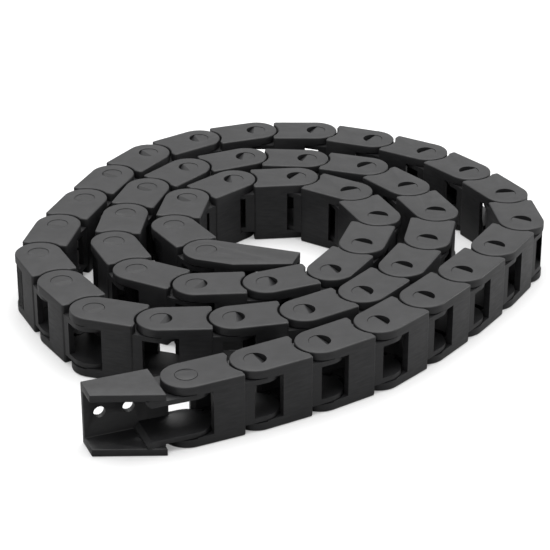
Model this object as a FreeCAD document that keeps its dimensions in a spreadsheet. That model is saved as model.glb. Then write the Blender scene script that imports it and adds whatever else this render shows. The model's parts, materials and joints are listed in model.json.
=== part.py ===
import FreeCAD, Part
import math
import os
from types import SimpleNamespace

import Sketcher

# Cable drag chain, 10 x 10 mm inside, lying on its side in a coil.
#
# Each link has a frame of its own: x runs along the chain, from the hole in its rounded end
# (x = 0) to the boss on its tongue (x = pitch); y points to the side that the chain bends to;
# z runs along the pins, with 0 halfway between the side plates. An outer bracket, the links
# and an inner bracket hang on each other in one row.

# Driving sizes, in millimetres and degrees.
SIZES = {
    "pitch": 20.0,             # pin to pin
    "plate_height": 13.8,      # across a side plate, in the plane that the chain bends in
    "inner_width": 10.0,       # cable space between the side layers
    "plate_thickness": 2.4,    # side plate where it covers the neighbour's tongue
    "tongue_thickness": 1.45,  # inner layer of the side, which carries the boss
    "side_play": 0.35,         # running gap between a tongue and the plate over it
    "wall_thickness": 1.6,     # cross walls that close the cable space
    "side_step": 0.3,          # tongue stands back from the plate's edge
    "wall_front": 4.8,         # hole to the cross wall outside the bend
    "inner_wall_front": 3.7,   # hole to the cross wall inside the bend
    "wall_back": 3.2,          # cross wall to boss
    "end_gap": 0.6,            # rounded end to the hollow end of the next plate
    "corner_setback": 5.9,     # hollow end's corners to the boss
    "corner_round": 0.7,
    "edge_bevel": 0.4,         # outer edges of the side plates
    "seat_gap": 0.3,           # tongue's round end to its seat in the next link
    "boss_radius": 3.0,
    "boss_play": 0.12,
    "boss_recess": 0.1,        # boss top below the plate's face
    "lead_start": 0.6,         # boss centre to the top edge of its slanted lead-in
    "lead_depth": 1.7,
    "lug_middle": 21.0,        # direction of the stop lug on the tongue
    "lug_half_angle": 10.0,
    "lug_reach": 1.3,          # lug beyond the tongue's round end
    "stop_slack": 1.0,         # free turn left at each stop
    "bend_radius": 28.0,       # smallest radius through the pins
    "bracket_length": 26.8,    # pin to free end, on both brackets
    "bracket_wall": 1.8,       # screw wall
    "bracket_plate": 2.15,     # outer bracket's plates
    "bracket_wall_end": 3.4,   # pin to the end of the outer bracket's wall
    "bracket_front": 8.2,      # pin to the edge of the outer bracket's plates
    "bracket_flare": 1.2,      # those plates' front corner beyond the chain's side
    "taper_start": 10.6,       # pin to the start of the inner bracket's taper
    "free_end_height": 8.0,    # bracket plates at the free end
    "web_length": 5.0,         # inner layer along a bracket, from the plate's edge or wall front
    "screw_radius": 1.65,
    "screw_spacing": 8.0,
    "screw_setback": 4.4,      # free end to the first screw
}

# How far each joint is turned as the chain lies, in whole degrees, from the outer bracket
# inwards: an almost straight tail, then nearly three turns that grow tighter.
LAY = (
    4, 4, 5, 13, 5, 4, 4, 37, 22, 9, 19, 11, 21, 20, 17, 21, 11, 2, 8, 36, 7, 40, 21, 10, 21,
    19, 12, 14, 33, 16, 34, 14, 29, 27, 22, 10, 29, 39, 32, 19, 38, 13, 39, 34, 39, 39, 36, 40, 41,
)
LINK_COUNT = len(LAY) - 1

# The lay suits links of this pitch to height and this largest bend; others need a wider coil.
LAY_PITCH_TO_HEIGHT = 1.449
LAY_LARGEST_BEND = 41.8


class Size:
    """A length or angle, known both as a number and as an expression on the sheet."""

    def __init__(self, number, expression):
        self.number = number
        self.expression = expression

    def __float__(self):
        return float(self.number)

    def __add__(self, other):
        other = as_size(other)
        return Size(self.number + other.number, f"({self.expression} + {other.expression})")

    def __sub__(self, other):
        other = as_size(other)
        return Size(self.number - other.number, f"({self.expression} - {other.expression})")

    def __mul__(self, factor):
        factor = as_size(factor)
        return Size(self.number * factor.number, f"{self.expression} * {factor.expression}")

    def __truediv__(self, divisor):
        divisor = as_size(divisor)
        return Size(self.number / divisor.number, f"{self.expression} / {divisor.expression}")

    def __neg__(self):
        return Size(-self.number, f"-({self.expression})")

    def sin(self):
        return Size(math.sin(math.radians(self.number)), f"sin({self.expression})")

    def arcsin(self):
        return Size(math.degrees(math.asin(self.number)), f"asin({self.expression}) / 1 deg")


def as_size(item):
    """A plain number as a Size, and a Size as it is."""
    return item if isinstance(item, Size) else Size(item, repr(float(item)))


S = SimpleNamespace(**{name: Size(number, "sizes." + name) for name, number in SIZES.items()})

# Sizes that pieces share.
HALF_HEIGHT = S.plate_height / 2
TONGUE_RADIUS = HALF_HEIGHT - S.side_step
SEAT_RADIUS = TONGUE_RADIUS + S.seat_gap
LUG_RADIUS = TONGUE_RADIUS + S.lug_reach
HOLE_RADIUS = S.boss_radius + S.boss_play
SPACE_HALF_HEIGHT = TONGUE_RADIUS - S.wall_thickness
SPACE_HALF_WIDTH = S.inner_width / 2
TONGUE_FACE = SPACE_HALF_WIDTH + S.tongue_thickness
PLATE_UNDERSIDE = TONGUE_FACE + S.side_play
OUTER_FACE = PLATE_UNDERSIDE + S.plate_thickness
LARGEST_BEND = (S.pitch / 2 / S.bend_radius).arcsin() * 2
CORNER_X = S.pitch - S.corner_setback
LUG_LOW = S.lug_middle - S.lug_half_angle
LUG_HIGH = S.lug_middle + S.lug_half_angle
NOTCH_LOW = LUG_LOW - LARGEST_BEND - S.stop_slack
NOTCH_HIGH = LUG_HIGH + S.stop_slack
WEB_BEVEL = S.tongue_thickness * 0.9
BEYOND = (S.pitch + S.bracket_length) * 2


# ---------------------------------------------------------------- sketches and features


def origin_plane(body, role):
    """One of the body's own origin planes, found by its role."""
    for plane in body.Origin.OriginFeatures:
        if plane.Role == role:
            return plane
    raise ValueError(role)


def new_sketch(body, name, role, height=None):
    """An empty sketch on an origin plane of the body, raised along the plane's normal."""
    sketch = body.newObject("Sketcher::SketchObject", f"{body.Name}_{name}")
    sketch.AttachmentSupport = [(origin_plane(body, role), "")]
    sketch.MapMode = "FlatFace"
    if height is not None:
        sketch.setExpression("AttachmentOffset.Base.z", height.expression)
    return sketch


def hold(sketch, kind, *place, size):
    """Adds a dimension to the sketch and binds it to the sheet."""
    index = sketch.addConstraint(Sketcher.Constraint(kind, *place, float(size)))
    sketch.setExpression(f"Constraints[{index}]", size.expression)


def hold_point(sketch, line, end, x, y):
    """Dimensions one point of the sketch from the origin."""
    hold(sketch, "DistanceX", -1, 1, line, end, size=as_size(x))
    hold(sketch, "DistanceY", -1, 1, line, end, size=as_size(y))


def vector(x, y):
    return FreeCAD.Vector(float(x), float(y), 0)


def join(sketch, *lines):
    """Ties the end of each edge to the start of the next, all the way round."""
    for first, second in zip(lines, lines[1:] + lines[:1]):
        sketch.addConstraint(Sketcher.Constraint("Coincident", first, 2, second, 1))


def draw_polygon(sketch, points):
    """A closed polygon with each corner dimensioned from the origin."""
    lines = []
    for start, end in zip(points, points[1:] + points[:1]):
        lines.append(sketch.addGeometry(Part.LineSegment(vector(*start), vector(*end)), False))
    join(sketch, *lines)
    for line, point in zip(lines, points):
        hold_point(sketch, line, 1, *point)


def draw_box(sketch, low_x, high_x, low_y, high_y):
    draw_polygon(sketch, [(low_x, low_y), (high_x, low_y), (high_x, high_y), (low_x, high_y)])


def draw_circle(sketch, x, y, radius):
    circle = Part.Circle(vector(x, y), FreeCAD.Vector(0, 0, 1), float(radius))
    index = sketch.addGeometry(circle, False)
    hold_point(sketch, index, 3, x, y)
    hold(sketch, "Radius", index, size=radius)


def arc_about(x, radius, start, end):
    """An arc about a point on the sketch's X axis, from one angle to another, in degrees."""
    circle = Part.Circle(vector(x, 0), FreeCAD.Vector(0, 0, 1), float(radius))
    return Part.ArcOfCircle(circle, math.radians(start), math.radians(end))


def draw_sector(sketch, x, radius, low, high):
    """A pie slice about a point on the X axis, between two directions."""
    arc = sketch.addGeometry(arc_about(x, radius, float(low), float(high)), False)
    tip = vector(x, 0)
    curve = sketch.Geometry[arc]
    inward = sketch.addGeometry(Part.LineSegment(curve.EndPoint, tip), False)
    outward = sketch.addGeometry(Part.LineSegment(tip, curve.StartPoint), False)
    join(sketch, arc, inward, outward)
    sketch.addConstraint(Sketcher.Constraint("Coincident", arc, 3, inward, 2))
    hold_point(sketch, arc, 3, x, 0)
    hold(sketch, "Radius", arc, size=radius)
    hold(sketch, "DistanceY", -1, 1, arc, 1, size=radius * low.sin())
    hold(sketch, "DistanceY", -1, 1, arc, 2, size=radius * high.sin())


def draw_tongue(sketch, root_x, pin_x):
    """A tab with parallel sides and a round end about a pin on the X axis."""
    radius = TONGUE_RADIUS
    arc = sketch.addGeometry(arc_about(pin_x, radius, -90, 90), False)
    top = Part.LineSegment(vector(pin_x, radius), vector(root_x, radius))
    root = Part.LineSegment(vector(root_x, radius), vector(root_x, -radius))
    bottom = Part.LineSegment(vector(root_x, -radius), vector(pin_x, -radius))
    top, root, bottom = [sketch.addGeometry(line, False) for line in (top, root, bottom)]
    for first, second in ((arc, top), (bottom, arc)):
        sketch.addConstraint(Sketcher.Constraint("Tangent", first, 2, second, 1))
    for first, second in ((top, root), (root, bottom)):
        sketch.addConstraint(Sketcher.Constraint("Coincident", first, 2, second, 1))
    hold_point(sketch, arc, 3, pin_x, 0)
    hold(sketch, "Radius", arc, size=radius)
    for line in (top, bottom):
        sketch.addConstraint(Sketcher.Constraint("Horizontal", line))
    sketch.addConstraint(Sketcher.Constraint("Vertical", root))
    hold(sketch, "DistanceX", -1, 1, root, 1, size=root_x)


def pad(body, name, sketch, length, symmetric=False):
    feature = body.newObject("PartDesign::Pad", f"{body.Name}_{name}")
    return extrude(body, feature, sketch, length, symmetric)


def pocket(body, name, sketch, length, symmetric=False):
    feature = body.newObject("PartDesign::Pocket", f"{body.Name}_{name}")
    return extrude(body, feature, sketch, length, symmetric)


def extrude(body, feature, sketch, length, symmetric):
    feature.Profile = sketch
    feature.setExpression("Length", length.expression)
    if symmetric:
        feature.SideType = "Symmetric"
    sketch.Visibility = False
    body.Tip = feature
    return feature


def mirror_sides(body, features):
    """Repeats features of one side on the other side of the chain."""
    mirrored = body.newObject("PartDesign::Mirrored", f"{body.Name}_other_side")
    mirrored.Originals = features
    mirrored.MirrorPlane = (origin_plane(body, "XY_Plane"), [""])
    body.Tip = mirrored


def bevel_edges(body, name, size, chosen):
    """Bevels the edges that a test picks from the shape as it is so far."""
    body.Document.recompute()
    base = body.Tip
    names = [f"Edge{i}" for i, edge in enumerate(base.Shape.Edges, 1) if chosen(edge)]
    feature = body.newObject("PartDesign::Chamfer", f"{body.Name}_{name}")
    feature.Base = (base, names)
    feature.setExpression("Size", size.expression)
    base.Visibility = False
    body.Tip = feature


def lies_at(edge, axis, distance):
    """Whether both ends of an edge lie at a distance from the middle plane of an axis."""
    return all(abs(abs(getattr(v.Point, axis)) - distance) < 1e-6 for v in edge.Vertexes)


# ---------------------------------------------------------------- what links and brackets share


def add_boss(body, pin_x, top, lead_corners):
    """A boss on the tongue's outer face, with a slanted lead-in that eases it into the hole."""
    circle = new_sketch(body, "boss_outline", "XY_Plane", TONGUE_FACE)
    draw_circle(circle, pin_x, 0, S.boss_radius)
    boss = pad(body, "boss", circle, top - TONGUE_FACE)
    role, corners = lead_corners
    wedge = new_sketch(body, "lead_in_section", role)
    draw_polygon(wedge, corners)
    lead_in = pocket(body, "lead_in", wedge, S.boss_radius * 4, symmetric=True)
    return [boss, lead_in]


def add_seat(body):
    """The hollow that the neighbour's tongue turns in, and the notch that stops its lug."""
    circle = new_sketch(body, "seat_outline", "XY_Plane")
    draw_circle(circle, 0, 0, SEAT_RADIUS)
    pocket(body, "seat", circle, PLATE_UNDERSIDE * 2, symmetric=True)
    sector = new_sketch(body, "notch_outline", "XY_Plane")
    draw_sector(sector, 0, LUG_RADIUS + S.seat_gap, NOTCH_LOW, NOTCH_HIGH)
    pocket(body, "notch", sector, PLATE_UNDERSIDE * 2, symmetric=True)


def add_cable_space(body, low_y, half_width):
    """The way that the cables take, cut right through along the chain."""
    section = new_sketch(body, "space_section", "YZ_Plane")
    draw_box(section, low_y, SPACE_HALF_HEIGHT, -half_width, half_width)
    pocket(body, "space", section, BEYOND, symmetric=True)


# ---------------------------------------------------------------- link


def draw_plate(sketch):
    """A side plate: a round end about the hole, and a hollow end about the next pin."""
    radius = float(HALF_HEIGHT)
    corner = float(S.corner_round)
    edge_x = float(CORNER_X)
    hollow_radius = HALF_HEIGHT + S.end_gap
    hollow_half = math.degrees(math.acos(float(S.corner_setback / hollow_radius)))
    hollow_y = math.sqrt(float(hollow_radius) ** 2 - float(S.corner_setback) ** 2)
    up = FreeCAD.Vector(0, 0, 1)
    low_corner = Part.Circle(vector(edge_x - corner, corner - radius), up, corner)
    high_corner = Part.Circle(vector(edge_x - corner, radius - corner), up, corner)
    edges = [
        arc_about(0, radius, 90, 270),
        Part.LineSegment(vector(0, -radius), vector(edge_x - corner, -radius)),
        Part.ArcOfCircle(low_corner, -math.pi / 2, 0),
        Part.LineSegment(vector(edge_x, corner - radius), vector(edge_x, -hollow_y)),
        arc_about(S.pitch, hollow_radius, 180 - hollow_half, 180 + hollow_half),
        Part.LineSegment(vector(edge_x, hollow_y), vector(edge_x, radius - corner)),
        Part.ArcOfCircle(high_corner, 0, math.pi / 2),
        Part.LineSegment(vector(edge_x - corner, radius), vector(0, radius)),
    ]
    end, low, low_round, low_edge, hollow, high_edge, high_round, high = [
        sketch.addGeometry(edge, False) for edge in edges
    ]
    smooth = [(end, low), (low, low_round), (low_round, low_edge)]
    smooth += [(high_edge, high_round), (high_round, high), (high, end)]
    for first, second in smooth:
        sketch.addConstraint(Sketcher.Constraint("Tangent", first, 2, second, 1))
    sketch.addConstraint(Sketcher.Constraint("Coincident", low_edge, 2, hollow, 2))
    sketch.addConstraint(Sketcher.Constraint("Coincident", hollow, 1, high_edge, 1))
    sketch.addConstraint(Sketcher.Constraint("Coincident", end, 3, -1, 1))
    for line in (low, high):
        sketch.addConstraint(Sketcher.Constraint("Horizontal", line))
    for line in (low_edge, high_edge):
        sketch.addConstraint(Sketcher.Constraint("Vertical", line))
        hold(sketch, "DistanceX", -1, 1, line, 1, size=CORNER_X)
    for arc in (low_round, high_round):
        hold(sketch, "Radius", arc, size=S.corner_round)
    hold(sketch, "Radius", end, size=HALF_HEIGHT)
    hold(sketch, "Radius", hollow, size=hollow_radius)
    hold_point(sketch, hollow, 3, S.pitch, 0)
    draw_circle(sketch, 0, 0, HOLE_RADIUS)


def add_link_core(body):
    """The block that the cross walls and both tongues are cut from."""
    outline = new_sketch(body, "core_outline", "XY_Plane")
    draw_tongue(outline, S.wall_front, S.pitch)
    pad(body, "core", outline, TONGUE_FACE * 2, symmetric=True)


def add_flush_walls(body):
    """The part of the cross walls that lies flush with the side plates."""
    round_x = CORNER_X - S.corner_round
    round_y = HALF_HEIGHT - S.corner_round
    outline = new_sketch(body, "wall_outline", "XY_Plane")
    outside = [(S.wall_front, 0), (S.wall_front, -HALF_HEIGHT), (round_x, -HALF_HEIGHT), (CORNER_X, -round_y)]
    inside = [(CORNER_X, round_y), (round_x, HALF_HEIGHT), (S.inner_wall_front, HALF_HEIGHT)]
    draw_polygon(outline, outside + inside + [(S.inner_wall_front, 0)])
    pad(body, "walls", outline, TONGUE_FACE * 2, symmetric=True)


def add_link_lug(body):
    """The stop lugs on both tongues."""
    sector = new_sketch(body, "lug_outline", "XY_Plane")
    draw_sector(sector, S.pitch, LUG_RADIUS, LUG_LOW, LUG_HIGH)
    pad(body, "lug", sector, TONGUE_FACE * 2, symmetric=True)


def add_link_sides(body):
    """Both side plates, and both bosses with lead-ins on their far side."""
    outline = new_sketch(body, "plate_outline", "XY_Plane", TONGUE_FACE)
    draw_plate(outline)
    plate = pad(body, "plate", outline, OUTER_FACE - TONGUE_FACE)
    lead_x = S.pitch + S.lead_start
    end_x = S.pitch + S.boss_radius
    corners = [(lead_x, OUTER_FACE), (end_x, OUTER_FACE - S.lead_depth), (end_x, OUTER_FACE)]
    features = add_boss(body, S.pitch, OUTER_FACE - S.boss_recess, ("XZ_Plane", corners))
    mirror_sides(body, [plate] + features)


def add_tongue_window(body):
    """Opens the space between the tongues, behind the cross walls."""
    section = new_sketch(body, "window_section", "XZ_Plane")
    back = S.pitch - S.wall_back
    draw_box(section, back, S.pitch + S.plate_height, -SPACE_HALF_WIDTH, SPACE_HALF_WIDTH)
    pocket(body, "window", section, S.plate_height * 2, symmetric=True)


def bevel_plate_edges(body):
    """Bevels the outer edges of the side plates, but not the holes."""
    face = float(OUTER_FACE)
    hole = float(HOLE_RADIUS)

    def chosen(edge):
        is_hole = isinstance(edge.Curve, Part.Circle) and abs(edge.Curve.Radius - hole) < 1e-6
        return lies_at(edge, "z", face) and not is_hole

    bevel_edges(body, "edge_bevel", S.edge_bevel, chosen)


def make_link(doc, name):
    """The first link, with its full feature tree."""
    body = doc.addObject("PartDesign::Body", name)
    add_link_core(body)
    add_flush_walls(body)
    add_link_lug(body)
    add_link_sides(body)
    add_cable_space(body, -SPACE_HALF_HEIGHT, SPACE_HALF_WIDTH)
    add_tongue_window(body)
    add_seat(body)
    bevel_plate_edges(body)
    return body


def copy_link(doc, name, first):
    """Another link, as a copy of the first one's shape in a body of its own."""
    body = doc.addObject("PartDesign::Body", name)
    copied = body.newObject("PartDesign::FeatureBase", f"{name}_copy")
    copied.BaseFeature = first
    body.Tip = copied
    return body


# ---------------------------------------------------------------- brackets


def add_screw_holes(body, direction):
    """Two clearance holes through the screw wall, the outer one near the free end."""
    outline = new_sketch(body, "screw_outline", "XZ_Plane")
    outer_x = S.bracket_length - S.screw_setback
    for x in (outer_x, outer_x - S.screw_spacing):
        draw_circle(outline, x * direction, 0, S.screw_radius)
    pocket(body, "screw_holes", outline, S.plate_height * 2, symmetric=True)


def bevel_web(body, root_x):
    """Bevels the end of a bracket's inner layers, inside the channel."""
    inner = float(SPACE_HALF_WIDTH)
    root = float(root_x)

    def chosen(edge):
        at_root = all(abs(v.Point.x - root) < 1e-6 for v in edge.Vertexes)
        return at_root and lies_at(edge, "z", inner)

    bevel_edges(body, "web_bevel", WEB_BEVEL, chosen)


def cut_channel(body, half_width):
    """Hollows a bracket out to a channel that is open opposite its screw wall."""
    section = new_sketch(body, "hollow_section", "YZ_Plane")
    draw_box(section, -S.plate_height * 2, HALF_HEIGHT - S.bracket_wall, -half_width, half_width)
    pocket(body, "hollow", section, BEYOND, symmetric=True)


def add_wall_end(body, front_x):
    """The outer bracket's wall, drawn on between its tongues."""
    outline = new_sketch(body, "wall_end_outline", "XY_Plane")
    draw_box(outline, front_x, -S.bracket_wall_end, SPACE_HALF_HEIGHT, TONGUE_RADIUS)
    pad(body, "wall_end", outline, SPACE_HALF_WIDTH * 2, symmetric=True)


def make_outer_bracket(doc):
    """Bracket at the chain's outer end: tongues with bosses, and a tapered channel to screw on."""
    body = doc.addObject("PartDesign::Body", "outer_bracket")
    free_x = -S.bracket_length
    front_x = -S.bracket_front
    outline = new_sketch(body, "channel_outline", "XY_Plane")
    free_low = (free_x, HALF_HEIGHT - S.free_end_height)
    front_low = (front_x, -(HALF_HEIGHT + S.bracket_flare))
    draw_polygon(outline, [free_low, front_low, (front_x, HALF_HEIGHT), (free_x, HALF_HEIGHT)])
    pad(body, "channel", outline, OUTER_FACE * 2, symmetric=True)
    plate_inside = OUTER_FACE - S.bracket_plate
    cut_channel(body, plate_inside)
    add_wall_end(body, front_x)
    root_x = front_x - S.web_length
    inlay = new_sketch(body, "web_outline", "XY_Plane", SPACE_HALF_WIDTH)
    draw_box(inlay, root_x, front_x, -TONGUE_RADIUS, TONGUE_RADIUS)
    web = pad(body, "web", inlay, plate_inside - SPACE_HALF_WIDTH)
    tab = new_sketch(body, "tongue_outline", "XY_Plane", SPACE_HALF_WIDTH)
    draw_tongue(tab, root_x, 0)
    tongue = pad(body, "tongue", tab, S.tongue_thickness)
    sector = new_sketch(body, "lug_outline", "XY_Plane", SPACE_HALF_WIDTH)
    draw_sector(sector, 0, LUG_RADIUS, LUG_LOW, LUG_HIGH)
    lug = pad(body, "lug", sector, S.tongue_thickness)
    top = OUTER_FACE + S.boss_recess
    slope_end = OUTER_FACE - S.boss_recess
    corners = [(0, top), (S.boss_radius, slope_end), (S.boss_radius, top)]
    features = add_boss(body, 0, top, ("YZ_Plane", corners))
    mirror_sides(body, [web, tongue, lug] + features)
    add_screw_holes(body, -1)
    bevel_web(body, root_x)
    return body


def draw_bracket_plate(sketch):
    """The inner bracket's side: a round end about the hole, then a taper to the free end."""
    radius = float(HALF_HEIGHT)
    free_low_y = HALF_HEIGHT - S.free_end_height
    corners = [
        vector(0, -radius),
        vector(S.taper_start, -radius),
        vector(S.bracket_length, free_low_y),
        vector(S.bracket_length, radius),
        vector(0, radius),
    ]
    end = sketch.addGeometry(arc_about(0, radius, 90, 270), False)
    low, taper, free, high = [
        sketch.addGeometry(Part.LineSegment(*ends), False) for ends in zip(corners, corners[1:])
    ]
    for first, second in ((end, low), (high, end)):
        sketch.addConstraint(Sketcher.Constraint("Tangent", first, 2, second, 1))
    for first, second in ((low, taper), (taper, free), (free, high)):
        sketch.addConstraint(Sketcher.Constraint("Coincident", first, 2, second, 1))
    sketch.addConstraint(Sketcher.Constraint("Coincident", end, 3, -1, 1))
    for line in (low, high):
        sketch.addConstraint(Sketcher.Constraint("Horizontal", line))
    sketch.addConstraint(Sketcher.Constraint("Vertical", free))
    hold(sketch, "Radius", end, size=HALF_HEIGHT)
    hold(sketch, "DistanceX", -1, 1, taper, 1, size=S.taper_start)
    hold_point(sketch, free, 1, S.bracket_length, free_low_y)
    draw_circle(sketch, 0, 0, HOLE_RADIUS)


def make_inner_bracket(doc):
    """Bracket at the chain's inner end: round ends with holes, and a tapered channel."""
    body = doc.addObject("PartDesign::Body", "inner_bracket")
    outline = new_sketch(body, "channel_outline", "XY_Plane")
    draw_bracket_plate(outline)
    pad(body, "channel", outline, OUTER_FACE * 2, symmetric=True)
    cut_channel(body, PLATE_UNDERSIDE)
    mouth = new_sketch(body, "mouth_section", "XZ_Plane")
    draw_box(mouth, -S.plate_height, S.inner_wall_front, -PLATE_UNDERSIDE, PLATE_UNDERSIDE)
    pocket(body, "mouth", mouth, S.plate_height * 2, symmetric=True)
    web = new_sketch(body, "web_outline", "XY_Plane", SPACE_HALF_WIDTH)
    draw_box(web, S.wall_front, S.taper_start, -TONGUE_RADIUS, TONGUE_RADIUS)
    mirror_sides(body, [pad(body, "web", web, PLATE_UNDERSIDE - SPACE_HALF_WIDTH)])
    add_seat(body)
    add_screw_holes(body, 1)
    bevel_web(body, S.taper_start)
    return body


# ---------------------------------------------------------------- assembly


def lay_turns():
    """The joints' turns in degrees, eased together where the sizes need a wider coil."""
    proportion = SIZES["pitch"] / SIZES["plate_height"]
    ease = min(1.0, proportion / LAY_PITCH_TO_HEIGHT, float(LARGEST_BEND) / LAY_LARGEST_BEND)
    return [ease * turn for turn in LAY]


def add_sheet(doc, name, cells):
    """A sheet with one named number in each row."""
    sheet = doc.addObject("Spreadsheet::Sheet", name)
    for row, (alias, number) in enumerate(cells.items(), 1):
        sheet.set(f"A{row}", alias)
        sheet.set(f"B{row}", str(number))
        sheet.setAlias(f"B{row}", alias)
    return sheet


def hang(body, carrier, offset, joint):
    """Places a body on the pin of the one before it, turned as the chain lies."""
    turn = f"rotation(vector(0; 0; 1); lay.turn_{joint:02d})"
    body.setExpression("Placement", f"{carrier.Name}.Placement * placement({offset}; {turn})")


def lay_chain(outer_bracket, links, inner_bracket):
    """Hangs each piece on the one before it, from the outer bracket inwards."""
    hang(links[0], outer_bracket, "vector(0; 0; 0)", 0)
    one_pitch = "vector(sizes.pitch; 0; 0)"
    for joint, (carrier, body) in enumerate(zip(links, links[1:] + [inner_bracket]), 1):
        hang(body, carrier, one_pitch, joint)


def stand_on_floor(doc, outer_bracket, pieces):
    """Moves the whole chain so that it stands on z = 0, centred over the origin."""
    doc.recompute()
    box = Part.makeCompound([piece.Shape for piece in pieces]).optimalBoundingBox(False)
    centre = box.Center
    shift = FreeCAD.Vector(-centre.x, -centre.y, -box.ZMin)
    outer_bracket.Placement.Base = outer_bracket.Placement.Base + shift
    doc.recompute()


def check(doc, pieces):
    """Stops on any object that failed, and any piece that isn't one sound solid."""
    for item in doc.Objects:
        if "Invalid" in item.State or "Error" in item.State:
            raise RuntimeError(f"{item.Name} failed: {item.State}")
    for piece in pieces:
        shape = piece.Shape
        if shape.isNull() or not shape.isValid() or len(shape.Solids) != 1:
            raise RuntimeError(f"{piece.Label} has no sound solid")


def build():
    """Makes the document and returns it with its pieces, from the outer end inwards."""
    doc = FreeCAD.newDocument("cable_drag_chain")
    add_sheet(doc, "sizes", SIZES)
    add_sheet(doc, "lay", {f"turn_{i:02d}": turn for i, turn in enumerate(lay_turns())})
    doc.recompute()
    outer_bracket = make_outer_bracket(doc)
    links = [make_link(doc, "link_01")]
    for number in range(2, LINK_COUNT + 1):
        links.append(copy_link(doc, f"link_{number:02d}", links[0]))
    inner_bracket = make_inner_bracket(doc)
    pieces = [outer_bracket] + links + [inner_bracket]
    lay_chain(outer_bracket, links, inner_bracket)
    stand_on_floor(doc, outer_bracket, pieces)
    return doc, pieces


def main():
    doc, pieces = build()
    check(doc, pieces)
    os.makedirs("parts", exist_ok=True)
    for piece in pieces:
        piece.Shape.exportStep(f"parts/{piece.Label}.step")
    print(f"{len(pieces)} pieces written")


if __name__ == "__main__":
    main()
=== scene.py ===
import json
import math

import bmesh
import bpy
from bpy.props import FloatProperty, FloatVectorProperty, IntProperty, PointerProperty
from mathutils import Matrix, Vector


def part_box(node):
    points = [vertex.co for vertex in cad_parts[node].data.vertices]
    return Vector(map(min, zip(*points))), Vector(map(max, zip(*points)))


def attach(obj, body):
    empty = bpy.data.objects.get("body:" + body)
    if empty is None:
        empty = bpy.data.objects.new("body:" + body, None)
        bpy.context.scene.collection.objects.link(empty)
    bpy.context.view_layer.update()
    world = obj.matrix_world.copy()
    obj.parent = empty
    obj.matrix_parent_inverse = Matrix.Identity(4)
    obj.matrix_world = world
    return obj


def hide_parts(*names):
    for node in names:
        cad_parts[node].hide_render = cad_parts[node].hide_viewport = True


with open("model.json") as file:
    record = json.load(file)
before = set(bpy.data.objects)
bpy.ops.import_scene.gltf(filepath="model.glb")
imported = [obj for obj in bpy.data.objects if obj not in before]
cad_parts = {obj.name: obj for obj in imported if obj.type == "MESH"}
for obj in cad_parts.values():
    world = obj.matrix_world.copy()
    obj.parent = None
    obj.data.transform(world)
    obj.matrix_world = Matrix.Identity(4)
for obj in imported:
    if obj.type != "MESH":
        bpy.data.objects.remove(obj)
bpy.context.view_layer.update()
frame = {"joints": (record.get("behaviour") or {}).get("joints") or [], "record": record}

bl_info = {
    "name": "Cable drag chain",
    "version": (1, 0, 0),
    "blender": (4, 5, 0),
    "location": "3D View > Sidebar > Drag chain",
    "description": "Models the mouldings of a coiled cable drag chain and lights them in a studio",
    "category": "Object",
}

MM = 0.001

# Limits of the modelling tools: lengths in metres, angles in radians.
TINY = 0.01 * MM            # a vertex this near to a plane lies on it
CUT_TOLERANCE = 1e-7        # of a plane that bisects a mesh
WELD_DISTANCE = 1e-6        # vertices this near become one
ALONG = 0.99                # cosine from which a direction counts as along an axis
SHARP = math.radians(35)    # an edge that turns by more is rounded
SMOOTH = math.radians(32)   # an edge that turns by less is shaded smooth
FLAT = math.radians(0.5)    # faces that turn by less become one

# Segments across a rounded edge, and straight edges round a screw hole.
CORNER_SEGMENTS = 4
EDGE_SEGMENTS = 3
FINE_SEGMENTS = 2
CHAMFER = 1
SCREW_STEPS = 48

CAMERA_REACH = 50.0   # farthest that the camera sees, in metres

# Each lamp's name, heading from the camera's and height in degrees, distance and size in
# metres, and power in watts.
LAMPS = (
    ("overhead", 0.0, 82.0, 1.6, 2.1, 56.0),
    ("left", 150.0, 32.0, 1.8, 1.0, 5.0),
    ("right", -78.0, 18.0, 1.8, 1.0, 16.0),
)

# The chain as the frame has it: pins in order from the outer bracket inwards.
PINS = [Vector(joint["pos_m"])
        for joint in sorted(frame["joints"], key=lambda joint: joint["name"])]
PITCH = (PINS[1] - PINS[0]).length
MOUNTS = {mount["name"]: mount for mount in frame["record"]["mounts"]}
LINK_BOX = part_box("link_01")
LINK_WIDTH = LINK_BOX[1].z - LINK_BOX[0].z


# ---------------------------------------------------------------- what a user can change


def length(name, description, millimetres):
    """A length property, whose default is given in millimetres."""
    return FloatProperty(name=name, description=description, default=millimetres * MM,
                         min=0.0, precision=5, unit="LENGTH")


def angle(name, description, degrees):
    """An angle property, whose default is given in degrees."""
    return FloatProperty(name=name, description=description, default=math.radians(degrees),
                         subtype="ANGLE")


def share(name, description, default):
    """A number property between 0 and 1."""
    return FloatProperty(name=name, description=description, default=default, min=0.0, max=1.0)


def colour(name, description, default):
    """A colour property."""
    return FloatVectorProperty(name=name, description=description, subtype="COLOR",
                               default=default, min=0.0, max=1.0)


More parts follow.
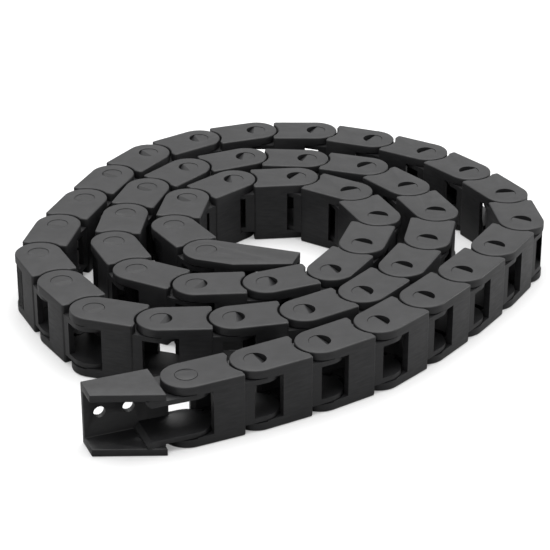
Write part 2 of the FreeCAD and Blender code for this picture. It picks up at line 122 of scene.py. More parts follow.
class ChainSizes(bpy.types.PropertyGroup):
    """Sizes that the links and both brackets share"""

    plate_height: length("Plate height", "Across a side plate, in the plane of bending", 13.8)
    inner_width: length("Inner width", "Cable space between the inner layers of the sides", 10.0)
    tongue_thickness: length("Tongue thickness", "Inner layer of a side, with the boss", 1.45)
    side_play: length("Side play", "Gap between a tongue and the plate over it", 0.35)
    wall_thickness: length("Wall thickness", "Cross walls that close the cable space", 1.6)
    side_step: length("Side step", "Tongue stands back from the plate's edge", 0.3)
    wall_front: length("Wall front", "Hole to the cross wall outside the bend", 4.8)
    inner_wall_front: length("Inner wall front", "Hole to the cross wall inside the bend", 3.7)
    wall_back: length("Wall back", "Cross wall to boss", 3.2)
    end_gap: length("End gap", "Rounded end to the hollow end of the next plate", 0.6)
    corner_setback: length("Corner setback", "Corners of the hollow end to the boss", 5.9)
    seat_gap: length("Seat gap", "Tongue to its seat in the next link", 0.3)
    boss_radius: length("Boss radius", "Boss that snaps into the next link", 3.0)
    boss_play: length("Boss play", "Gap round a boss in its hole", 0.12)
    boss_recess: length("Boss recess", "Top of a boss below the plate's face", 0.1)
    lead_start: length("Lead-in start", "Middle of the boss to the top of its slanted lead-in", 0.6)
    lead_depth: length("Lead-in depth", "How far the lead-in slants down", 1.7)
    lug_reach: length("Lug reach", "Stop lug beyond the tongue's round end", 1.3)
    edge_round: length("Edge rounding", "Rounding of the side plates' outer edges", 0.4)
    bracket_round: length("Bracket rounding", "Edges of the brackets", 0.24)
    fine_round: length("Fine rounding", "Rounding that any moulded edge has", 0.12)
    corner_round: length("Corner rounding", "Corners of the hollow end, seen from the side", 0.7)
    lug_middle: angle("Lug direction", "Middle of the stop lug on the tongue", 21)
    lug_half_angle: angle("Lug half angle", "Half of the stop lug's width", 10)
    largest_bend: angle("Largest bend", "Turn of a joint from straight to its stop", 41.8)
    stop_slack: angle("Stop slack", "Free turn left at each stop", 1.0)
    round_steps: IntProperty(name="Round steps", description="Straight edges in a full circle",
                             default=72, min=24)


class BracketSizes(bpy.types.PropertyGroup):
    """Sizes of the two end brackets"""

    reach: length("Length", "Pin to free end", 26.8)
    wall: length("Screw wall", "Wall that the screws go through", 1.8)
    wall_end: length("Wall end", "Pin to the end of the outer bracket's wall", 3.4)
    plate: length("Plate thickness", "The outer bracket's plates", 2.15)
    front: length("Plate front", "Pin to the edge of the outer bracket's plates", 8.2)
    flare: length("Flare", "Outer bracket's front corner beyond the chain's side", 1.2)
    taper_start: length("Taper start", "Pin to the start of the inner bracket's taper", 10.6)
    free_end_height: length("Free end", "Height of the plates at the free end", 8.0)
    web_length: length("Web length", "Inner layer along the outer bracket's plates", 5.0)
    screw_radius: length("Screw radius", "Clearance holes for the screws", 1.65)
    screw_spacing: length("Screw spacing", "From one screw to the other", 8.0)
    screw_setback: length("Screw setback", "Free end to the first screw", 4.4)


class PlasticLook(bpy.types.PropertyGroup):
    """Finish of the moulded plastic"""

    clean_colour: colour("Colour", "Dyed nylon where it is clean", (0.0045, 0.0045, 0.005))
    pale_colour: colour("Pale colour", "Nylon where it flowed last and on rubbed edges",
                        (0.018, 0.018, 0.019))
    ior: FloatProperty(name="IOR", description="How strongly the bare plastic mirrors",
                       default=1.40, min=1.0, max=2.0)
    roughness: share("Roughness", "Of the spark-eroded mould face", 0.44)


class StudioLook(bpy.types.PropertyGroup):
    """Floor, room and camera"""

    floor_colour: colour("Floor colour", "Matt paper, as the camera sees it", (0.74, 0.74, 0.74))
    bounce_colour: colour("Bounce colour", "Matt paper, as it lights the chain",
                          (0.34, 0.34, 0.34))
    floor_glow: share("Floor glow", "White that the camera sees in the paper", 0.25)
    floor_size: length("Floor size", "Side of the square floor", 6000.0)
    ambient_light: share("Ambient light", "The room, as it lights the chain", 0.40)
    mirrored_light: share("Mirrored light", "Added to the room where gloss mirrors it", 0.55)
    seen_light: share("Seen light", "Added to the room where the camera sees it", 0.60)
    camera_distance: length("Camera distance", "From the camera to its aim", 632.3)
    camera_heading: angle("Camera heading", "Direction of view, seen from above", 68.08)
    camera_tilt: angle("Camera tilt", "How far the camera looks down", 26.67)
    focal_length: FloatProperty(name="Focal length", description="On a sensor 36 mm wide",
                                default=135.15, subtype="DISTANCE_CAMERA")
    sensor_width: FloatProperty(name="Sensor width", description="Of the camera",
                                default=36.0, subtype="DISTANCE_CAMERA")
    aim: FloatVectorProperty(name="Aim", description="Point that the camera looks at",
                             subtype="TRANSLATION", default=(0.0011, 0.0051, 0.0004))


# ---------------------------------------------------------------- modelling helpers


def deselect():
    """Leaves edit mode and selects nothing."""
    if bpy.context.object and bpy.context.object.mode != "OBJECT":
        bpy.ops.object.mode_set(mode="OBJECT")
    bpy.ops.object.select_all(action="DESELECT")


def pick(item):
    """Selects one object alone and makes it the active one."""
    deselect()
    item.select_set(True)
    bpy.context.view_layer.objects.active = item


def choose(item, kind, test):
    """In edit mode, selects the vertices, edges or faces that pass a test, and nothing else."""
    mesh = bmesh.from_edit_mesh(item.data)
    bpy.ops.mesh.select_mode(type={"verts": "VERT", "edges": "EDGE", "faces": "FACE"}[kind])
    bpy.ops.mesh.select_all(action="DESELECT")
    for element in getattr(mesh, kind):
        element.select_set(test(element))
    mesh.select_flush_mode()
    bmesh.update_edit_mesh(item.data)


def add_drum(name, centre, radius, depth, steps, axis="Z"):
    """A round bar about a point, along Z or Y."""
    deselect()
    turn = (math.pi / 2, 0.0, 0.0) if axis == "Y" else (0.0, 0.0, 0.0)
    bpy.ops.mesh.primitive_cylinder_add(vertices=steps, radius=radius, depth=depth,
                                        location=centre, rotation=turn)
    drum = bpy.context.object
    drum.name = name
    bpy.ops.object.transform_apply(location=True, rotation=True, scale=True)
    return drum


def add_block(name, low, high):
    """A block between two corners."""
    low, high = Vector(low), Vector(high)
    deselect()
    bpy.ops.mesh.primitive_cube_add(size=1.0, location=(low + high) / 2)
    block = bpy.context.object
    block.name = name
    block.scale = high - low
    bpy.ops.object.transform_apply(location=True, rotation=True, scale=True)
    return block


def add_tab(name, pin_x, root_x, radius, low_z, high_z, steps):
    """A bar with a round end about a pin and a flat end at its root."""
    tab = add_drum(name, (pin_x, 0.0, (low_z + high_z) / 2), radius, high_z - low_z, steps)
    side = 1.0 if root_x > pin_x else -1.0
    bpy.ops.object.mode_set(mode="EDIT")
    bpy.ops.mesh.select_all(action="SELECT")
    bpy.ops.mesh.bisect(plane_co=(pin_x, 0.0, 0.0), plane_no=(side, 0.0, 0.0), use_fill=True,
                        clear_outer=True, threshold=CUT_TOLERANCE)
    choose(tab, "faces", lambda face: face.normal.x * side > ALONG)
    bpy.ops.mesh.extrude_region_move(TRANSFORM_OT_translate={"value": (root_x - pin_x, 0.0, 0.0)})
    bpy.ops.object.mode_set(mode="OBJECT")
    return tab


def add_sector(name, centre_x, radius, low, high, low_z, high_z, steps):
    """A pie slice about a point on the X axis, between two directions."""
    disc = add_drum(name, (centre_x, 0.0, (low_z + high_z) / 2), radius, high_z - low_z, steps)
    bpy.ops.object.mode_set(mode="EDIT")
    for limit, side in ((low, -1.0), (high, 1.0)):
        bpy.ops.mesh.select_all(action="SELECT")
        normal = (-math.sin(limit) * side, math.cos(limit) * side, 0.0)
        bpy.ops.mesh.bisect(plane_co=(centre_x, 0.0, 0.0), plane_no=normal, use_fill=True,
                            clear_outer=True, threshold=CUT_TOLERANCE)
    bpy.ops.object.mode_set(mode="OBJECT")
    return disc


def move_points(item, test, offset):
    """Moves the vertices that pass a test."""
    pick(item)
    bpy.ops.object.mode_set(mode="EDIT")
    choose(item, "verts", test)
    bpy.ops.transform.translate(value=offset)
    bpy.ops.object.mode_set(mode="OBJECT")


def bevel_edges(item, test, width, segments):
    """Rounds the edges that pass a test, in edit mode."""
    pick(item)
    bpy.ops.object.mode_set(mode="EDIT")
    choose(item, "edges", test)
    bpy.ops.mesh.bevel(offset=width, segments=segments, affect="EDGES", clamp_overlap=True)
    bpy.ops.object.mode_set(mode="OBJECT")


def combine(item, others, operation):
    """Joins other solids to a solid, or cuts them from it, and removes them."""
    for other in others:
        pick(item)
        modifier = item.modifiers.new("combine", "BOOLEAN")
        modifier.operation = operation
        modifier.solver = "EXACT"
        modifier.object = other
        bpy.ops.object.modifier_apply(modifier=modifier.name)
        bpy.data.objects.remove(other)
    return item


def cut(item, *cutters):
    """Cuts solids from a solid."""
    return combine(item, cutters, "DIFFERENCE")


def unite(item, *others):
    """Joins solids to a solid."""
    return combine(item, others, "UNION")


def round_all(item, width, segments):
    """Rounds every sharp edge of a solid."""
    pick(item)
    modifier = item.modifiers.new("round", "BEVEL")
    modifier.width = width
    modifier.segments = segments
    modifier.limit_method = "ANGLE"
    modifier.angle_limit = SHARP
    modifier.miter_outer = "MITER_ARC"
    bpy.ops.object.modifier_apply(modifier=modifier.name)


def tidy(item):
    """Merges stray doubles and shades the round parts smooth."""
    pick(item)
    bpy.ops.object.mode_set(mode="EDIT")
    bpy.ops.mesh.select_all(action="SELECT")
    bpy.ops.mesh.remove_doubles(threshold=WELD_DISTANCE)
    bpy.ops.mesh.delete_loose()
    bpy.ops.mesh.select_all(action="SELECT")
    bpy.ops.mesh.dissolve_limited(angle_limit=FLAT)
    bpy.ops.mesh.select_all(action="SELECT")
    bpy.ops.mesh.normals_make_consistent(inside=False)
    bpy.ops.object.mode_set(mode="OBJECT")
    bpy.ops.object.shade_smooth_by_angle(angle=SMOOTH)


# ---------------------------------------------------------------- sizes worked out from the others


SUNK_SHARE = 0.99       # plates and bosses start a hair inside the tongue's face, and so join it
WEB_BEVEL_SHARE = 0.9   # of the tongue's thickness


class Worked:
    """Sizes that follow from the chain's own, shared by all the mouldings."""

    def __init__(self, sizes):
        self.half_height = sizes.plate_height / 2
        self.tongue_radius = self.half_height - sizes.side_step
        self.space = self.tongue_radius - sizes.wall_thickness
        self.half_width = sizes.inner_width / 2
        self.tongue_face = self.half_width + sizes.tongue_thickness
        self.underside = self.tongue_face + sizes.side_play
        self.face = LINK_WIDTH / 2
        self.seat_radius = self.tongue_radius + sizes.seat_gap
        self.lug_radius = self.tongue_radius + sizes.lug_reach
        self.hole_radius = sizes.boss_radius + sizes.boss_play
        self.lug_low = sizes.lug_middle - sizes.lug_half_angle
        self.lug_high = sizes.lug_middle + sizes.lug_half_angle
        self.notch_low = self.lug_low - sizes.largest_bend - sizes.stop_slack
        self.notch_high = self.lug_high + sizes.stop_slack
        self.sunk = self.tongue_face * SUNK_SHARE
        self.web_bevel = sizes.tongue_thickness * WEB_BEVEL_SHARE
        self.steps = sizes.round_steps
        self.fine_steps = self.steps * 2
        self.beyond = PITCH * 2


# ---------------------------------------------------------------- parts of a moulding


def make_plate(sizes, worked, side):
    """One side plate of a link: a round end with a hole, and a hollow end."""
    low, high = sorted((worked.sunk * side, worked.face * side))
    corner_x = PITCH - sizes.corner_setback
    plate = add_tab("plate", 0.0, corner_x, worked.half_height, low, high, worked.steps)
    bevel_edges(plate, lambda edge: upright(edge) and edge.verts[0].co.x > corner_x - TINY,
                sizes.corner_round, CORNER_SEGMENTS)
    middle = (low + high) / 2
    hollow_radius = worked.half_height + sizes.end_gap
    hollow = add_drum("hollow", (PITCH, 0.0, middle), hollow_radius, worked.beyond, worked.steps)
    cut(plate, hollow)
    outer = worked.face * side
    bevel_edges(plate, lambda edge: rim(edge) and all(abs(v.co.z - outer) < TINY
                                                      for v in edge.verts),
                sizes.edge_round, EDGE_SEGMENTS)
    hole = add_drum("hole", (0.0, 0.0, middle), worked.hole_radius, worked.beyond, worked.steps)
    return cut(plate, hole)


def upright(edge):
    """Whether an edge runs along the pins."""
    direction = (edge.verts[1].co - edge.verts[0].co).normalized()
    return abs(direction.z) > ALONG


def rim(edge):
    """Whether an edge lies between two faces that meet at an angle."""
    return len(edge.link_faces) == 2 and edge.calc_face_angle(0.0) > SHARP


def make_boss(sizes, worked, pin_x, side, top, lead_along):
    """A boss with its slanted lead-in, on the outer face of a tongue."""
    boss = add_drum("boss", (pin_x, 0.0, (worked.sunk + top) / 2 * side), sizes.boss_radius,
                    top - worked.sunk, worked.steps)
    if lead_along == "X":
        along, start, drop = Vector((1.0, 0.0, 0.0)), sizes.lead_start, sizes.lead_depth
    else:
        along, start, drop = Vector((0.0, 1.0, 0.0)), 0.0, sizes.boss_recess * 2
    slope = math.atan2(drop, sizes.boss_radius - start)
    # A block that covers the boss and more, its underside on the lead-in.
    block_size = sizes.boss_radius * 4
    deselect()
    bpy.ops.mesh.primitive_cube_add(size=block_size)
    wedge = bpy.context.object
    middle = Vector((pin_x, 0.0, top * side))
    normal = along * math.sin(slope) + Vector((0.0, 0.0, side)) * math.cos(slope)
    turn = normal.to_track_quat("Z", "Y").to_matrix().to_4x4()
    wedge.matrix_world = Matrix.Translation(middle + along * start + normal * block_size / 2) @ turn
    pick(wedge)
    bpy.ops.object.transform_apply(location=True, rotation=True, scale=True)
    return cut(boss, wedge)


def make_flush_wall(sizes, worked, front_x, side):
    """The part of one cross wall that lies flush with the side plates."""
    back_x = PITCH - sizes.corner_setback
    low, high = sorted((-worked.space * side, worked.half_height * side))
    wall = add_block("flush_wall", (front_x, low, -worked.tongue_face),
                     (back_x, high, worked.tongue_face))
    outer = worked.half_height * side
    bevel_edges(wall, lambda edge: upright(edge) and edge.verts[0].co.x > back_x - TINY
                and abs(edge.verts[0].co.y - outer) < TINY, sizes.corner_round, CORNER_SEGMENTS)
    return wall


def add_lug(worked, pin_x, low_z, high_z):
    """The stop lug, as a slice that reaches past a tongue's round end."""
    return add_sector("lug", pin_x, worked.lug_radius, worked.lug_low, worked.lug_high, low_z,
                      high_z, worked.fine_steps)


def cut_seat(item, sizes, worked):
    """Cuts the hollow that the neighbour's tongue turns in, and the notch that stops its lug."""
    seat = add_drum("seat", (0.0, 0.0, 0.0), worked.seat_radius, worked.underside * 2,
                    worked.fine_steps)
    notch = add_sector("notch", 0.0, worked.lug_radius + sizes.seat_gap, worked.notch_low,
                       worked.notch_high, -worked.underside, worked.underside, worked.fine_steps)
    return cut(item, seat, notch)


def make_link(sizes, worked):
    """One link in its own frame: hole at the origin, boss one pitch along X."""
    core = add_tab("link", PITCH, sizes.wall_front, worked.tongue_radius, -worked.tongue_face,
                   worked.tongue_face, worked.steps)
    unite(core, add_lug(worked, PITCH, -worked.tongue_face, worked.tongue_face))
    unite(core, make_flush_wall(sizes, worked, sizes.wall_front, -1.0),
          make_flush_wall(sizes, worked, sizes.inner_wall_front, 1.0))
    space = add_block("space", (-worked.beyond, -worked.space, -worked.half_width),
                      (worked.beyond, worked.space, worked.half_width))
    window = add_block("window", (PITCH - sizes.wall_back, -worked.beyond, -worked.half_width),
                       (worked.beyond, worked.beyond, worked.half_width))
    cut(core, space, window)
    for side in (1.0, -1.0):
        unite(core, make_plate(sizes, worked, side))
    cut_seat(core, sizes, worked)
    for side in (1.0, -1.0):
        unite(core, make_boss(sizes, worked, PITCH, side, worked.face - sizes.boss_recess, "X"))
    round_all(core, sizes.fine_round, FINE_SEGMENTS)
    tidy(core)
    return core


# ---------------------------------------------------------------- brackets


def cut_screw_holes(item, sizes, brackets, direction):
    """Two clearance holes through the screw wall."""
    outer_x = brackets.reach - brackets.screw_setback
    for x in (outer_x, outer_x - brackets.screw_spacing):
        place = (x * direction, sizes.plate_height / 2, 0.0)
        cut(item, add_drum("screw", place, brackets.screw_radius, sizes.plate_height,
                           SCREW_STEPS, "Y"))
    return item


def make_outer_shell(sizes, brackets, worked):
    """The outer bracket's screw wall and its plates, which taper to the free end."""
    front_x = -brackets.front
    free_y = worked.half_height - brackets.free_end_height
    front_y = -(worked.half_height + brackets.flare)
    shell = add_block("outer_bracket_shell", (-brackets.reach, front_y, -worked.face),
                      (front_x, worked.half_height, worked.face))
    move_points(shell, lambda v: v.co.x < front_x - MM and v.co.y < 0.0,
                (0.0, free_y - front_y, 0.0))
    inside = worked.face - brackets.plate
    cut(shell, add_block("channel", (-worked.beyond, -worked.beyond, -inside),
                         (worked.beyond, worked.half_height - brackets.wall, inside)))
    round_all(shell, sizes.bracket_round, EDGE_SEGMENTS)
    wall_end = add_block("wall_end", (front_x - MM, worked.space, -worked.half_width),
                         (-brackets.wall_end, worked.tongue_radius, worked.half_width))
    return unite(shell, wall_end)


def make_outer_tongue(brackets, worked, side):
    """A tongue of the outer bracket with its lug, and the web that joins it to the plate."""
    front_x = -brackets.front
    root_x = front_x - brackets.web_length
    inner = worked.half_width * side
    low, high = sorted((inner, worked.tongue_face * side))
    tongue = add_tab("tongue", 0.0, front_x - MM, worked.tongue_radius, low, high, worked.steps)
    low_web, high_web = sorted((inner, (worked.face - brackets.plate) * side))
    web = add_block("web", (root_x, -worked.tongue_radius, low_web),
                    (front_x, worked.tongue_radius, high_web))
    bevel_edges(web, lambda edge: all(v.co.x < root_x + TINY and abs(v.co.z - inner) < TINY
                                      for v in edge.verts), worked.web_bevel, CHAMFER)
    return unite(tongue, web, add_lug(worked, 0.0, low, high))


def make_outer_bracket(sizes, brackets, worked):
    """The tapered channel at the chain's outer end, with two tongues."""
    shell = make_outer_shell(sizes, brackets, worked)
    for side in (1.0, -1.0):
        unite(shell, make_outer_tongue(brackets, worked, side))
        unite(shell, make_boss(sizes, worked, 0.0, side, worked.face + sizes.boss_recess, "Y"))
    cut_screw_holes(shell, sizes, brackets, -1.0)
    round_all(shell, sizes.fine_round, FINE_SEGMENTS)
    tidy(shell)
    return shell


def make_inner_shell(sizes, brackets, worked):
    """The inner bracket's round ends, screw wall and plates, which taper to the free end."""
    shell = add_tab("inner_bracket_shell", 0.0, brackets.taper_start, worked.half_height,
                    -worked.face, worked.face, worked.steps)
    pick(shell)
    bpy.ops.object.mode_set(mode="EDIT")
    choose(shell, "faces", lambda face: face.normal.x > ALONG)
    bpy.ops.mesh.extrude_region_move(
        TRANSFORM_OT_translate={"value": (brackets.reach - brackets.taper_start, 0.0, 0.0)})
    bpy.ops.object.mode_set(mode="OBJECT")
    rise = sizes.plate_height - brackets.free_end_height
    move_points(shell, lambda v: v.co.x > brackets.reach - MM and v.co.y < 0.0,
                (0.0, rise, 0.0))
    channel = add_block("channel", (-worked.beyond, -worked.beyond, -worked.underside),
                        (worked.beyond, worked.half_height - brackets.wall, worked.underside))
    mouth = add_block("mouth", (-worked.beyond, -worked.beyond, -worked.underside),
                      (sizes.inner_wall_front, worked.beyond, worked.underside))
    cut(shell, channel, mouth)
    round_all(shell, sizes.bracket_round, EDGE_SEGMENTS)
    return shell


def make_inner_web(sizes, brackets, worked, side):
    """The inner layer on one plate of the inner bracket, as far as its taper."""
    end_x = brackets.taper_start
    inner = worked.half_width * side
    low, high = sorted((inner, worked.underside * side))
    web = add_block("web", (sizes.wall_front, -worked.tongue_radius, low),
                    (end_x, worked.tongue_radius, high))
    bevel_edges(web, lambda edge: all(v.co.x > end_x - TINY and abs(v.co.z - inner) < TINY
                                      for v in edge.verts), worked.web_bevel, CHAMFER)
    return web


def make_inner_bracket(sizes, brackets, worked):
    """The tapered channel at the chain's inner end, with round ends for a link's bosses."""
    shell = make_inner_shell(sizes, brackets, worked)
    for side in (1.0, -1.0):
        unite(shell, make_inner_web(sizes, brackets, worked, side))
    cut_seat(shell, sizes, worked)
    cut(shell, add_drum("hole", (0.0, 0.0, 0.0), worked.hole_radius, worked.beyond, worked.steps))
    cut_screw_holes(shell, sizes, brackets, 1.0)
    round_all(shell, sizes.fine_round, FINE_SEGMENTS)
    tidy(shell)
    return shell


# ---------------------------------------------------------------- materials


WHITE = (1.0, 1.0, 1.0, 1.0)

# Noise patterns of the plastic: scale per metre, detail and roughness.
CLOUDS = (55.0, 3.0, 0.55)        # slow changes of tone
FLOW = (240.0, 4.0, 0.6)          # marks that the melt leaves, stretched
GRAIN = (5200.0, 2.0, 0.6)        # of the mould's face
PITS = (1500.0, 2.0, 0.5)
SCRATCHES = (420.0, 5.0, 0.75)    # stretched and turned

# How each pattern is squeezed along X, Y and Z, and the scratches' turn in radians.
FLOW_SQUEEZE = (1.0, 1.0, 6.0)
SCRATCH_SQUEEZE = (1.0, 14.0, 3.0)
SCRATCH_TURN = 0.6

# How far each pattern pales the plastic.
CLOUD_TINT, FLOW_TINT, RUBBED_TINT, SCRATCH_TINT = 0.35, 0.20, 0.45, 0.10
# How far each pattern roughens it, the rubbed edges smooth it, and where that starts from.
CLOUD_ROUGHNESS, GRAIN_ROUGHNESS, RUBBED_GLOSS, ROUGHNESS_START = 0.12, 0.05, 0.08, 0.05
# How far grain and pits stand up and scratches lie deep, and how that is shown.
GRAIN_HEIGHT, PIT_HEIGHT, SCRATCH_DEPTH = 0.55, 0.45, 0.35
BUMP_STRENGTH = 0.35
BUMP_DISTANCE = 0.03 * MM


class Value:
    """A socket on which Python's operators add Math nodes."""

    def __init__(self, graph, socket):
        self.graph = graph
        self.socket = socket

    def reckon(self, operation, other):
        """Adds a Math node on this value and another."""
        node = self.graph.add("ShaderNodeMath", {"operation": operation}, {0: self, 1: other})
        return node.out(0)

    def __add__(self, other):
        return self.reckon("ADD", other)

    __radd__ = __add__

    def __sub__(self, other):
        return self.reckon("SUBTRACT", other)

    def __mul__(self, other):
        return self.reckon("MULTIPLY", other)

    __rmul__ = __mul__


class Placed:
    """A node that has been added to a graph."""

    def __init__(self, graph, node):
        self.graph = graph
        self.node = node

    def out(self, name):
        """The value at an output socket."""
        return Value(self.graph, self.node.outputs[name])


class Graph:
    """A node tree that is built node by node."""

    def __init__(self, tree):
        self.tree = tree
        tree.nodes.clear()

    def add(self, kind, settings=None, inputs=None):
        """Adds a node, sets it up, and then fills or links its sockets."""
        node = self.tree.nodes.new(kind)
        for name, setting in (settings or {}).items():
            setattr(node, name, setting)
        for name, source in (inputs or {}).items():
            if isinstance(source, Value):
                self.tree.links.new(source.socket, node.inputs[name])
            else:
                node.inputs[name].default_value = source
        return Placed(self, node)

    def ramp(self, source, low, high):
        """0 below a level and 1 above another, with a straight slope between."""
        return self.add("ShaderNodeMapRange", {"clamp": True},
                        {"Value": source, "From Min": low, "From Max": high}).out("Result")

    def noise(self, place, scale, detail, roughness):
        """A noise pattern, from 0 to 1."""
        return self.add("ShaderNodeTexNoise", None, {
            "Vector": place, "Scale": scale, "Detail": detail, "Roughness": roughness,
        }).out("Fac")

    def squeeze(self, place, scale, turn=0.0):
        """Coordinates on which a pattern is squeezed along the axes and turned about Z."""
        return self.add("ShaderNodeMapping", None, {
            "Vector": place, "Rotation": (0.0, 0.0, turn), "Scale": scale,
        }).out(0)

    def blend(self, factor, first, second):
        """A colour between two colours."""
        sockets = {0: factor, 6: first, 7: second}
        return self.add("ShaderNodeMix", {"data_type": "RGBA"}, sockets).out(2)


def make_plastic(look):
    """Dyed nylon: a fine spark-eroded grain, soft flow marks, scuffs, and edges rubbed pale."""
    material = bpy.data.materials.new("moulded_nylon")
    material.use_nodes = True
    graph = Graph(material.node_tree)
    place = graph.add("ShaderNodeTexCoord").out("Object")
    clouds = graph.noise(place, *CLOUDS)
    flow = graph.noise(graph.squeeze(place, FLOW_SQUEEZE), *FLOW)
    grain = graph.noise(place, *GRAIN)
    pits = graph.noise(place, *PITS)
    scratched = graph.noise(graph.squeeze(place, SCRATCH_SQUEEZE, SCRATCH_TURN), *SCRATCHES)
    scratches = graph.ramp(scratched, low=0.66, high=0.74)
    pointiness = graph.add("ShaderNodeNewGeometry").out("Pointiness")
    worn = graph.ramp(flow, low=0.35, high=0.65)
    rubbed = graph.ramp(pointiness, low=0.51, high=0.60) * worn
    cloudy = graph.ramp(clouds, low=0.30, high=0.72)
    flowed = graph.ramp(flow, low=0.40, high=0.75)
    tint = (cloudy * CLOUD_TINT + flowed * FLOW_TINT + rubbed * RUBBED_TINT
            + scratches * SCRATCH_TINT)
    base = graph.blend(tint, (*look.clean_colour, 1.0), (*look.pale_colour, 1.0))
    roughness = (look.roughness - ROUGHNESS_START + clouds * CLOUD_ROUGHNESS
                 - rubbed * RUBBED_GLOSS + grain * GRAIN_ROUGHNESS)
    height = grain * GRAIN_HEIGHT + pits * PIT_HEIGHT - scratches * SCRATCH_DEPTH
    bump = graph.add("ShaderNodeBump", None, {
        "Strength": BUMP_STRENGTH, "Distance": BUMP_DISTANCE, "Height": height,
    }).out(0)
    shader = graph.add("ShaderNodeBsdfPrincipled", None, {
        "Base Color": base, "Roughness": roughness, "Normal": bump, "IOR": look.ior,
    }).out(0)
    graph.add("ShaderNodeOutputMaterial", None, {"Surface": shader})
    return material


def plastic():
    """The chain's one material, made the first time it is asked for."""
    return bpy.data.materials.get("moulded_nylon") or make_plastic(bpy.context.scene.chain_plastic)


# ---------------------------------------------------------------- placing


def heading_of(direction):
    """A direction's angle from +X, seen from above."""
    return math.atan2(direction.y, direction.x)


def stand(pin, heading):
    """Where a moulding goes: its own origin on a pin, turned about that pin."""
    return Matrix.Translation(pin) @ Matrix.Rotation(heading, 4, "Z")


def dress(moulding, node, place):
    """Puts a finished moulding in the place of a CAD node."""
    moulding.data.transform(place)
    moulding.data.materials.clear()
    moulding.data.materials.append(plastic())
    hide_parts(node)
    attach(moulding, node)


class ChainTool:
    """What the operators have in common."""

    bl_options = {"REGISTER", "UNDO"}

    @staticmethod
    def parts(context):
        """The chain's sizes, the brackets' sizes, and what follows from them."""
        sizes = context.scene.chain_sizes
        return sizes, context.scene.chain_brackets, Worked(sizes)


class CHAIN_OT_links(ChainTool, bpy.types.Operator):
    """Model one link and set a copy of it at each pin of the coil"""

    bl_idname = "chain.links"
    bl_label = "Links"

    def execute(self, context):
        sizes, _, worked = self.parts(context)
        first = make_link(sizes, worked)
        for number, (pin, next_pin) in enumerate(zip(PINS, PINS[1:]), 1):
            link = first.copy()
            link.data = first.data.copy()
            link.name = f"moulded_link_{number:02d}"
            context.scene.collection.objects.link(link)
            dress(link, f"link_{number:02d}", stand(pin, heading_of(next_pin - pin)))
        bpy.data.objects.remove(first)
        return {"FINISHED"}


class CHAIN_OT_outer_bracket(ChainTool, bpy.types.Operator):
    """Model the screw bracket at the outer end of the chain"""

    bl_idname = "chain.outer_bracket"
    bl_label = "Outer bracket"

    def execute(self, context):
        bracket = make_outer_bracket(*self.parts(context))
        bracket.name = "moulded_outer_bracket"
        side = Vector(MOUNTS["outer_bracket_screws"]["axis"])
        dress(bracket, "outer_bracket", stand(PINS[0], heading_of(side) - math.pi / 2))
        return {"FINISHED"}


class CHAIN_OT_inner_bracket(ChainTool, bpy.types.Operator):
    """Model the screw bracket at the inner end of the chain"""

    bl_idname = "chain.inner_bracket"
    bl_label = "Inner bracket"

    def execute(self, context):
        bracket = make_inner_bracket(*self.parts(context))
        bracket.name = "moulded_inner_bracket"
        side = Vector(MOUNTS["inner_bracket_screws"]["axis"])
        dress(bracket, "inner_bracket", stand(PINS[-1], heading_of(side) - math.pi / 2))
        return {"FINISHED"}


# ---------------------------------------------------------------- studio


def make_floor(look):
    """A wide sheet of matt paper, white to the camera, that keeps a faint shadow."""
    deselect()
    bpy.ops.mesh.primitive_plane_add(size=look.floor_size, location=(0.0, 0.0, 0.0))
    floor = bpy.context.object
    floor.name = "studio_floor"
    material = bpy.data.materials.new("paper")
    material.use_nodes = True
    graph = Graph(material.node_tree)
    camera = graph.add("ShaderNodeLightPath").out("Is Camera Ray")
    colour = graph.blend(camera, (*look.bounce_colour, 1.0), (*look.floor_colour, 1.0))
    paper = graph.add("ShaderNodeBsdfDiffuse", None, {"Color": colour}).out(0)
    glow = graph.add("ShaderNodeEmission", None, {"Color": WHITE, "Strength": 1.0}).out(0)
    mix = {0: camera * look.floor_glow, 1: paper, 2: glow}
    shader = graph.add("ShaderNodeMixShader", None, mix).out(0)
    graph.add("ShaderNodeOutputMaterial", None, {"Surface": shader})
    floor.data.materials.append(material)


def make_world(look):
    """White round the studio where it is seen or mirrored, and a dimmer light elsewhere."""
    world = bpy.data.worlds.new("studio")
    world.use_nodes = True
    bpy.context.scene.world = world
    graph = Graph(world.node_tree)
    rays = graph.add("ShaderNodeLightPath")
    strength = (rays.out("Is Camera Ray") * look.seen_light
                + rays.out("Is Glossy Ray") * look.mirrored_light + look.ambient_light)
    light = graph.add("ShaderNodeBackground", None, {"Color": WHITE, "Strength": strength}).out(0)
    graph.add("ShaderNodeOutputWorld", None, {"Surface": light})


def add_softbox(name, heading, height_angle, distance, size, power):
    """A square lamp that faces the middle of the coil."""
    flat = math.cos(height_angle) * distance
    place = Vector((math.cos(heading) * flat, math.sin(heading) * flat,
                    math.sin(height_angle) * distance))
    deselect()
    bpy.ops.object.light_add(type="AREA", location=place)
    lamp = bpy.context.object
    lamp.name = name
    lamp.data.shape = "SQUARE"
    lamp.data.size = size
    lamp.data.energy = power
    lamp.rotation_euler = (-place).to_track_quat("-Z", "Y").to_euler()


def make_lamps(look):
    """A wide box overhead, a faint one left of the camera and one far to the right."""
    for name, heading, height, distance, size, power in LAMPS:
        add_softbox(name, look.camera_heading + math.radians(heading), math.radians(height),
                    distance, size, power)


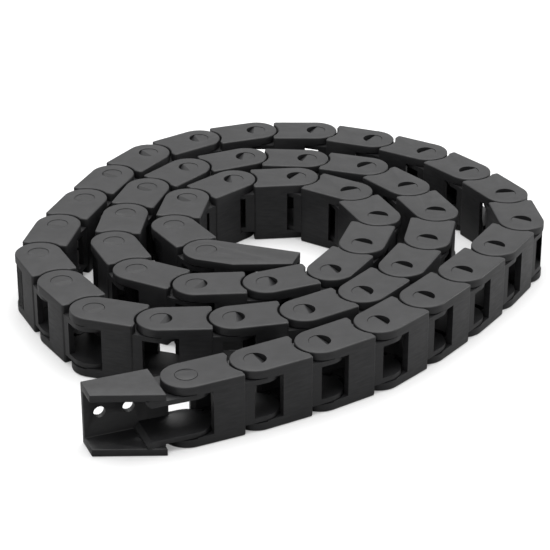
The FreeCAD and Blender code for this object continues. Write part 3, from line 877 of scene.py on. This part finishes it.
def make_camera(look):
    """A long lens that looks down on the coil."""
    heading, tilt = look.camera_heading, look.camera_tilt
    ahead = Vector((math.cos(heading) * math.cos(tilt), math.sin(heading) * math.cos(tilt),
                    -math.sin(tilt)))
    deselect()
    bpy.ops.object.camera_add(location=Vector(look.aim) - ahead * look.camera_distance)
    camera = bpy.context.object
    camera.name = "camera"
    camera.rotation_euler = ahead.to_track_quat("-Z", "Y").to_euler()
    camera.data.lens = look.focal_length
    camera.data.sensor_width = look.sensor_width
    camera.data.clip_end = CAMERA_REACH
    bpy.context.scene.camera = camera


class CHAIN_OT_studio(ChainTool, bpy.types.Operator):
    """Set up the floor, the world, the lamps and the camera"""

    bl_idname = "chain.studio"
    bl_label = "Studio"

    def execute(self, context):
        look = context.scene.chain_studio
        context.scene.view_settings.view_transform = "Standard"
        make_floor(look)
        make_world(look)
        make_lamps(look)
        make_camera(look)
        return {"FINISHED"}


# ---------------------------------------------------------------- panel and registration


class CHAIN_PT_panel(bpy.types.Panel):
    """Lists the chain's tools and sizes"""

    bl_label = "Cable drag chain"
    bl_idname = "CHAIN_PT_panel"
    bl_space_type = "VIEW_3D"
    bl_region_type = "UI"
    bl_category = "Drag chain"

    def draw(self, context):
        layout = self.layout
        for tool in TOOLS:
            layout.operator(tool.bl_idname)
        for group in PROPERTIES:
            box = layout.box()
            settings = getattr(context.scene, group)
            for name in settings.__annotations__:
                box.prop(settings, name)


TOOLS = (CHAIN_OT_links, CHAIN_OT_outer_bracket, CHAIN_OT_inner_bracket, CHAIN_OT_studio)
PROPERTIES = {
    "chain_sizes": ChainSizes,
    "chain_brackets": BracketSizes,
    "chain_plastic": PlasticLook,
    "chain_studio": StudioLook,
}
CLASSES = (*PROPERTIES.values(), *TOOLS, CHAIN_PT_panel)


def register():
    """Registers the classes and gives the scene their settings."""
    for item in CLASSES:
        bpy.utils.register_class(item)
    for name, group in PROPERTIES.items():
        setattr(bpy.types.Scene, name, PointerProperty(type=group))


def unregister():
    """Takes the settings and the classes away again."""
    for name in PROPERTIES:
        delattr(bpy.types.Scene, name)
    for item in reversed(CLASSES):
        bpy.utils.unregister_class(item)


def main():
    """Registers the add-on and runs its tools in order."""
    register()
    bpy.ops.chain.links()
    bpy.ops.chain.outer_bracket()
    bpy.ops.chain.inner_bracket()
    bpy.ops.chain.studio()


if __name__ == "__main__":
    main()
